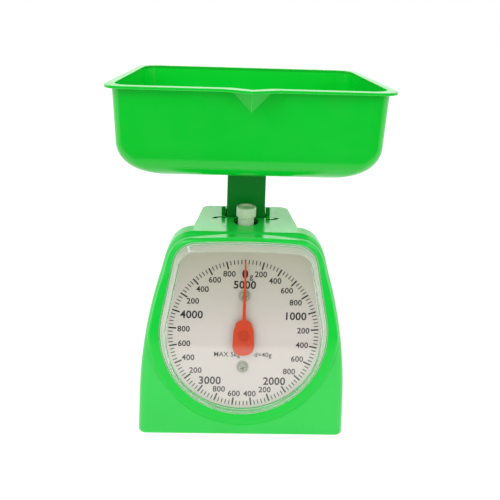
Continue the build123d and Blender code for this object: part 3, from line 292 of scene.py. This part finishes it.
def moulded_plastic(name, deep, pale, edge, gloss, rim=0.55, shine=0.5, marks=None, painted_glow=None):
    """Moulded plastic: slow colour drift, fine grain, handling smudges, and paler edges that are partly a
    painted highlight and partly edge wear.

    The marks, if there are any, are made for this material's graph: where, what colour, what shine; the
    body's marks are painted shade.
    The painted glow, if there is one, is an emission strength for light seeping through the wall, also
    made for the graph.
    """
    graph = Graph(name)
    colour = graph.mix(graph.noise(24, 3), deep, pale)
    # painted highlight: edges are lightened towards the edge colour, partly standing for edge wear
    colour = graph.mix(graph.calc("MULTIPLY", graph.edges(EDGE_ROUND), rim), colour, edge)
    for where, paint, mark_shine in marks(graph) if marks else ():
        colour = graph.mix(where, colour, paint)
        change = graph.calc("MULTIPLY", where, graph.calc("SUBTRACT", mark_shine, shine))
        shine = graph.calc("ADD", shine, change)
    smudge = graph.span(graph.noise(55, 5, 0.6), 0.35, 0.70, gloss, gloss + 0.10)
    grain = graph.calc("MULTIPLY", graph.noise(2600, 2), 0.18)
    sink = graph.noise(85, 1)
    normal = graph.bump(graph.calc("ADD", grain, sink), 0.05 * MM)
    made = graph.surface(colour, smudge, Normal=normal, IOR=1.5, Specular_IOR_Level=shine)
    # painted glow: the surface emits its own colour
    if painted_glow:
        graph.feed(made.inputs["Emission Color"], colour)
        graph.feed(made.inputs["Emission Strength"], painted_glow(graph))
    return graph.material


def clear_plastic(name):
    """Clear polished plastic: refracts for the eye, lets light through to what is behind."""
    graph = Graph(name)
    scuff = graph.span(graph.noise(240, 6, 0.7), 0.45, 0.75, 0.010, 0.050)
    normal = graph.bump(graph.noise(40, 1), 0.02 * MM)
    clear = graph.surface(
        CLEAR_TINT, scuff, Normal=normal, IOR=1.49, Transmission_Weight=1.0
    )
    frost = graph.node("ShaderNodeBsdfDiffuse", {"Color": FROST})
    wall = graph.span(graph.calc("ABSOLUTE", graph.facing()["Y"]), 0.95, 0.85, 0.0, WALL_HAZE)
    rim = graph.calc("MAXIMUM", wall, graph.calc("MULTIPLY", graph.edges(EDGE_ROUND), EDGE_HAZE))
    edged = graph.node("ShaderNodeMixShader", {0: rim, 1: clear.outputs[0], 2: frost.outputs[0]})
    path = graph.node("ShaderNodeLightPath").outputs
    past = graph.calc("MAXIMUM", path["Is Shadow Ray"], path["Is Diffuse Ray"])
    through = graph.node("ShaderNodeBsdfTransparent", {"Color": THROUGH_TINT})
    both = graph.node("ShaderNodeMixShader", {0: past, 1: edged.outputs[0], 2: through.outputs[0]})
    graph.feed(graph.out.inputs["Surface"], both.outputs[0])
    return graph.material


def printed_card(name, deep, pale, gloss, painted_shadow=None):
    """Coated white sheet, or the ink printed on it: fibre mottle and a faint satin coat.

    A painted shadow, if there is one, darkens the card towards the top, where the lens and pan would shade
    it.
    """
    graph = Graph(name)
    fibre = graph.noise(1500, 4, 0.6, graph.stretched((1, 1, 0.35)))
    cloud = graph.noise(30, 2)
    share = graph.calc("MULTIPLY", graph.calc("ADD", fibre, cloud), 0.5)
    colour = graph.mix(share, deep, pale)
    if painted_shadow:
        # painted shadow: darker towards the top of the dial
        height = graph.span(graph.parts(graph.place)["Z"], hub_z, dial_high.z, 0.0, 1.0)
        colour = graph.mix(height, colour, painted_shadow)
    normal = graph.bump(fibre, 0.01 * MM)
    graph.surface(colour, graph.span(cloud, 0.3, 0.7, gloss, gloss + 0.1), Normal=normal)
    return graph.material


def rubber(name):
    """Black rubber with a dusty bloom in its pores."""
    graph = Graph(name)
    pores = graph.noise(1600, 5, 0.7)
    bloom = graph.noise(70, 3)
    dust = graph.calc("MULTIPLY", pores, bloom)
    colour = graph.mix(dust, RUBBER_BLACK, RUBBER_DUST)
    roughness = graph.span(bloom, 0.3, 0.7, 0.65, 0.85)
    graph.surface(colour, roughness, Normal=graph.bump(pores, 0.05 * MM))
    return graph.material


def zinc_sheet(name):
    """Zinc plated sheet: crystal spangle, rolling scratches."""
    graph = Graph(name)
    cells = graph.node("ShaderNodeTexVoronoi", {"Vector": graph.place, "Scale": 260.0})
    split = graph.node("ShaderNodeSeparateColor", {"Color": cells.outputs["Color"]})
    spangle = split.outputs["Red"]
    scratch = graph.noise(420, 4, 0.7, graph.stretched((12, 1, 1)))
    colour = graph.mix(spangle, ZINC_DEEP, ZINC_PALE)
    wear = graph.span(scratch, 0.4, 0.7, 0, 0.1)
    roughness = graph.calc("ADD", graph.span(spangle, 0, 1, 0.24, 0.36), wear)
    graph.surface(colour, roughness, Normal=graph.bump(scratch, 0.02 * MM), Metallic=1.0)
    return graph.material


def turned_metal(name, deep, pale, roughness, metallic=1.0):
    """Turned or drawn metal: fine tool marks and a little tarnish."""
    graph = Graph(name)
    marks = graph.noise(2200, 3, 0.6, graph.stretched((1, 6, 1)))
    tarnish = graph.noise(160, 4, 0.6)
    colour = graph.mix(tarnish, deep, pale)
    gloss = graph.span(marks, 0.3, 0.7, roughness - 0.05, roughness + 0.08)
    graph.surface(colour, gloss, Normal=graph.bump(marks, 0.01 * MM), Metallic=metallic)
    return graph.material


def body_marks(graph):
    """Painted shade: the boss round the lens is painted deeper for the dimmer room it mirrors; the lugs
    beside the post, under the pan, and the sunk arrows are painted darker.
    """
    low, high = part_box("housing")
    lug_foot = high.z - LUG_HEIGHT
    lugs = graph.within((low.x, low.y, lug_foot), (high.x, high.y, high.z + MM))
    arrow_low = (-ARROW_REACH, ARROW_BACK, lug_foot - ARROW_FLOOR)
    arrow_high = (ARROW_REACH, ARROW_FRONT, lug_foot - ARROW_LIP)
    arrows = graph.within(arrow_low, arrow_high)
    boss = graph.disc(0, hub_z + BOSS_RISE, BOSS_RADIUS, BOSS_FRONT)
    return [(boss, BOSS_SHADE_GREEN, 0.3), (lugs, LUG_SHADE_GREEN, 0.0), (arrows, ARROW_SHADE_GREEN, 0.0)]


def pan_glow(graph):
    """Painted glow: the inner face of the pan's back wall, below the rim, emits light, more towards the
    back, standing in for light falling through the thin wall.
    """
    low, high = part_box("pan")
    place = graph.parts(graph.place)
    back = graph.span(place["Y"], low.y + WALL_ZONE, high.y - WALL_ZONE, 0.0, PAINTED_SEEP)
    below_rim = graph.calc("LESS_THAN", place["Z"], high.z - RIM_DROP)
    inner = graph.span(graph.facing()["Y"], 0.3, -0.3, 0.0, 1.0)
    return graph.calc("MULTIPLY", inner, graph.calc("MULTIPLY", back, below_rim))


def pointer_marks(graph):
    """The thick boss of the pointer, where it grips its shaft, looks darker."""
    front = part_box("pointer")[0].y + HUB_RISE
    return [(graph.disc(hub_x, hub_z, HUB_RADIUS, front), ORANGE_HUB, 0.4)]


def slot_materials():
    """One material for each of the record's slots."""
    return {
        "green_plastic": moulded_plastic(
            "green_body", BODY_DEEP, BODY_PALE, GREEN_EDGE_HIGHLIGHT_AND_WEAR, 0.13, rim=0.15, marks=body_marks
        ),
        "base_plastic": moulded_plastic("green_base", BASE_DEEP, BASE_PALE, GREEN_EDGE_HIGHLIGHT_AND_WEAR, 0.30),
        "white_plastic": moulded_plastic("cream_plastic", CREAM_DEEP, CREAM_PALE, CREAM_EDGE_HIGHLIGHT_AND_WEAR, 0.28),
        "clear_plastic": clear_plastic("clear_lens"),
        "dial_card": printed_card("dial_card", CARD_DEEP, CARD_PALE, 0.38, CARD_PAINTED_SHADOW),
        "pointer_plastic": moulded_plastic(
            "orange_plastic", ORANGE_DEEP, ORANGE_PALE, ORANGE_EDGE_HIGHLIGHT_AND_WEAR, 0.25, marks=pointer_marks
        ),
        "rack_plastic": moulded_plastic("acetal", ACETAL_DEEP, ACETAL_PALE, CREAM_EDGE_HIGHLIGHT_AND_WEAR, 0.40),
        "rubber": rubber("black_rubber"),
        "zinc_steel": zinc_sheet("zinc_sheet"),
        "bright_steel": turned_metal("bright_steel", STEEL_DEEP, STEEL_PALE, 0.22),
        "spring_steel": turned_metal("spring_wire", WIRE_DEEP, WIRE_PALE, 0.30),
        "dark_steel": turned_metal("blackened_steel", BLACK_DEEP, BLACK_PALE, 0.38, 0.5),
        "brass": turned_metal("brass", BRASS_DEEP, BRASS_PALE, 0.22),
    }


def paint_nodes():
    """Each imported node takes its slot's material; the pan, post and dial screws have their own."""
    own = {
        "pan": moulded_plastic(
            "green_pan_painted_glow", PAN_DEEP, PAN_PALE, GREEN_EDGE_HIGHLIGHT_AND_WEAR, 0.13, rim=0.4, shine=0.35, painted_glow=pan_glow
        ),
        # painted shade: the post and the platform under the pan are painted a darker green for the pan's
        # shadow
        "post": moulded_plastic("green_post_painted_shade", POST_SHADE_DEEP, POST_SHADE_PALE, POST_SHADE_PALE, 0.30, shine=0.2),
        "dial_screws": turned_metal("dull_steel", SCREW_DEEP, SCREW_PALE, 0.50, 0.3),
        "dial_washers": turned_metal("dull_zinc", WASHER_DEEP, WASHER_PALE, 0.45, 0.3),
    }
    own["platform"] = own["post"]
    slots = slot_materials()
    for part in frame["record"]["subparts"]:
        node = frame["nodes"][part["node"]]
        node.data.materials.clear()
        node.data.materials.append(own.get(part["node"]) or slots[part["material_slot"]])


def lettering(ink, text, height, centre, bold):
    """Adds a line of text to the printing, its digits this high, centred at (x, z) on the dial."""
    curve = bpy.data.curves.new("lettering", "FONT")
    curve.body = text
    curve.extrude = INK / 2
    curve.offset = bold
    curve.resolution_u = 3
    curve.space_character = 1.04
    curve.size = height / FIGURE_SHARE
    holder = bpy.data.objects.new("lettering", curve)
    scene.collection.objects.link(holder)
    graph = bpy.context.evaluated_depsgraph_get()
    made = bpy.data.meshes.new_from_object(holder.evaluated_get(graph))
    bpy.data.objects.remove(holder)
    across = [v.co.x for v in made.vertices]
    middle = Vector(((min(across) + max(across)) / 2, height / 2, 0))
    upright = Matrix.Rotation(math.radians(90), 4, "X")
    spot = Matrix.Translation((centre[0], face_y, centre[1]))
    made.transform(spot @ upright @ Matrix.Translation(-middle))
    ink.from_mesh(made)
    bpy.data.meshes.remove(made)


def tick(ink, turn, length, width):
    """Adds one tick, clockwise by turn from the top, its outer end on the tick circle."""
    corners = []
    for depth in (face_y - INK / 2, face_y + INK / 2):
        inner = TICK_OUTER - length
        for radius, side in ((TICK_OUTER, -1), (TICK_OUTER, 1), (inner, 1), (inner, -1)):
            x = side * width / 2
            corners.append(
                ink.verts.new((
                    hub_x + radius * math.sin(turn) + x * math.cos(turn),
                    depth,
                    hub_z + radius * math.cos(turn) - x * math.sin(turn),
                ))
            )
    front, back = corners[:4], corners[4:]
    ink.faces.new(front)
    ink.faces.new(back[::-1])
    for i in range(4):
        j = (i + 1) % 4
        ink.faces.new((front[j], front[i], back[i], back[j]))


def print_dial():
    """Ticks every 40 g, numbers every 200 g, clockwise from the top."""
    ink = bmesh.new()
    for mass in range(0, CAPACITY, TICK_STEP):
        turn = 2 * math.pi * mass / CAPACITY
        if mass % LABEL_STEP:
            tick(ink, turn, TICK_LENGTH, TICK_WIDTH)
        else:
            tick(ink, turn, LONG_TICK_LENGTH, LONG_TICK_WIDTH)
    for mass in range(LABEL_STEP, CAPACITY, LABEL_STEP):
        turn = 2 * math.pi * mass / CAPACITY
        whole = mass % 1000 == 0
        height = LARGE_DIGIT if whole else SMALL_DIGIT
        text = str(mass) if whole else str(mass % 1000)
        half_width = DIGIT_WIDTH * height * len(text) / 2
        radius = LABEL_EDGE - math.hypot(half_width * math.sin(turn), height / 2 * math.cos(turn))
        if whole:
            turn -= LARGE_LABEL_SWAY * math.sin(2 * turn)
        centre = (hub_x + radius * math.sin(turn), hub_z + radius * math.cos(turn))
        lettering(ink, text, height, centre, THOUSAND_BOLD if whole else SMALL_BOLD)
    lettering(ink, "0", ZERO_DIGIT, (hub_x, hub_z + ZERO_RISE), ZERO_BOLD)
    lettering(ink, "g", SMALL_DIGIT, (hub_x + GRAM_ACROSS, hub_z + GRAM_RISE), GRAM_BOLD)
    lettering(ink, str(CAPACITY), LARGE_DIGIT, (hub_x, hub_z + CAPACITY_RISE), CAPACITY_BOLD)
    lettering(ink, CAPTION, CAPTION_DIGIT, (hub_x, hub_z - CAPTION_DROP), CAPTION_BOLD)
    bmesh.ops.remove_doubles(ink, verts=ink.verts, dist=0.0005 * MM)
    bmesh.ops.recalc_face_normals(ink, faces=ink.faces)
    mesh = bpy.data.meshes.new("dial_printing")
    ink.to_mesh(mesh)
    ink.free()
    printing = bpy.data.objects.new("dial_printing", mesh)
    scene.collection.objects.link(printing)
    mesh.materials.append(printed_card("dial_ink", INK_DEEP, INK_PALE, 0.45))
    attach(printing, "base_unit")


def build_floor():
    """A plain white floor, far wider than the view, that glows a little, as a lit sheet does.

    In reflections it ends in front of the object, where the room is dim.
    """
    half = FLOOR_HALF
    corners = [(-half, -half, 0), (half, -half, 0), (half, half, 0), (-half, half, 0)]
    mesh = bpy.data.meshes.new("floor")
    mesh.from_pydata(corners, [], [range(4)])
    floor = bpy.data.objects.new("floor", mesh)
    scene.collection.objects.link(floor)
    floor.location.z = cad_box[0].z
    graph = Graph("pale_floor")
    colour = graph.mix(graph.noise(3, 2), SHEET_DEEP, SHEET_PALE)
    white = graph.surface(colour, 0.7, Emission_Color=WHITE, Emission_Strength=SHEET_GLOW)
    dim = graph.node("ShaderNodeEmission", {"Color": WHITE, "Strength": ROOM_DIM})
    beyond = graph.span(graph.parts(graph.place)["Y"], SHEET_EDGE, SHEET_EDGE - SHEET_BLUR, 0.0, 1.0)
    mirrored = graph.node("ShaderNodeLightPath").outputs["Is Glossy Ray"]
    share = graph.calc("MULTIPLY", beyond, mirrored)
    both = graph.node("ShaderNodeMixShader", {0: share, 1: white.outputs[0], 2: dim.outputs[0]})
    graph.feed(graph.out.inputs["Surface"], both.outputs[0])
    mesh.materials.append(graph.material)


def build_world():
    """White studio: white to the eye, softer as light; mirrored, bright behind and dim in front."""
    world = bpy.data.worlds.new("studio")
    scene.world = world
    world.use_nodes = True
    tree = world.node_tree
    tree.nodes.clear()
    out = tree.nodes.new("ShaderNodeOutputWorld")
    path = tree.nodes.new("ShaderNodeLightPath")
    facing = tree.nodes.new("ShaderNodeSeparateXYZ")
    tree.links.new(tree.nodes.new("ShaderNodeTexCoord").outputs["Generated"], facing.inputs["Vector"])
    ramp = tree.nodes.new("ShaderNodeMapRange")
    tree.links.new(facing.outputs["Y"], ramp.inputs["Value"])
    ramp.inputs["From Min"].default_value = DIM_BEFORE
    ramp.inputs["From Max"].default_value = BRIGHT_BEHIND
    ramp.inputs["To Min"].default_value = ROOM_DIM
    ramp.inputs["To Max"].default_value = ROOM_BRIGHT
    seen = tree.nodes.new("ShaderNodeBackground")
    seen.inputs["Strength"].default_value = 1.0
    lit = tree.nodes.new("ShaderNodeBackground")
    lit.inputs["Strength"].default_value = ROOM_LIGHT
    mirrored = tree.nodes.new("ShaderNodeBackground")
    tree.links.new(ramp.outputs["Result"], mirrored.inputs["Strength"])
    for light in (seen, lit, mirrored):
        light.inputs["Color"].default_value = WHITE
    glossy = tree.nodes.new("ShaderNodeMixShader")
    tree.links.new(path.outputs["Is Glossy Ray"], glossy.inputs[0])
    tree.links.new(lit.outputs[0], glossy.inputs[1])
    tree.links.new(mirrored.outputs[0], glossy.inputs[2])
    whole = tree.nodes.new("ShaderNodeMixShader")
    tree.links.new(path.outputs["Is Camera Ray"], whole.inputs[0])
    tree.links.new(glossy.outputs[0], whole.inputs[1])
    tree.links.new(seen.outputs[0], whole.inputs[2])
    tree.links.new(whole.outputs[0], out.inputs["Surface"])


def soft_light(name, place, width, height, power):
    """A rectangular soft box aimed at the middle of the object."""
    light = bpy.data.lights.new(name, "AREA")
    light.shape = "RECTANGLE"
    light.size = width
    light.size_y = height
    light.energy = power
    box = bpy.data.objects.new(name, light)
    scene.collection.objects.link(box)
    box.location = place
    middle = (cad_box[0] + cad_box[1]) / 2
    box.rotation_euler = (Vector(place) - middle).to_track_quat("Z", "Y").to_euler()


def build_camera():
    """Just above the pan's rim and almost level, with the lens shifted down on to the scale."""
    camera = bpy.data.objects.new("camera", bpy.data.cameras.new("camera"))
    scene.collection.objects.link(camera)
    scene.camera = camera
    camera.data.sensor_width = 36
    camera.data.lens = FOCAL_LENGTH
    camera.data.clip_start = 0.02
    camera.data.shift_x = LENS_SHIFT_ACROSS
    turn = Matrix.Rotation(math.radians(CAMERA_TURN), 4, "Z")
    tilt = Matrix.Rotation(math.radians(90 + CAMERA_PITCH), 4, "X")
    roll = Matrix.Rotation(math.radians(CAMERA_ROLL), 4, "Z")
    camera.matrix_world = Matrix.Translation(Vector(CAMERA_PLACE) * MM) @ turn @ tilt @ roll
    # the lens shift holds for this camera's Euler turn
    # a view from elsewhere turns it by quaternion and takes no shift
    curve = camera.data.driver_add("shift_y")
    curve.driver.type = "AVERAGE"
    turned = curve.driver.variables.new()
    turned.type = "SINGLE_PROP"
    turned.targets[0].id = camera
    turned.targets[0].data_path = "rotation_mode"
    for modifier in list(curve.modifiers):
        curve.modifiers.remove(modifier)
    while curve.keyframe_points:
        curve.keyframe_points.remove(curve.keyframe_points[0])
    for mode, shift in ((QUATERNION_MODE, 0.0), (EULER_MODE, LENS_SHIFT)):
        curve.keyframe_points.insert(mode, shift).interpolation = "LINEAR"


dial_low, dial_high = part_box("dial_plate")
shaft_low, shaft_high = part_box("pointer_shaft")
face_y = dial_low.y
hub_x = (shaft_low.x + shaft_high.x) / 2
hub_z = (shaft_low.z + shaft_high.z) / 2

paint_nodes()
print_dial()
build_floor()
build_world()
for name, setting in LIGHTS.items():
    soft_light(name, *setting)
build_camera()
scene.view_settings.view_transform = "Standard"
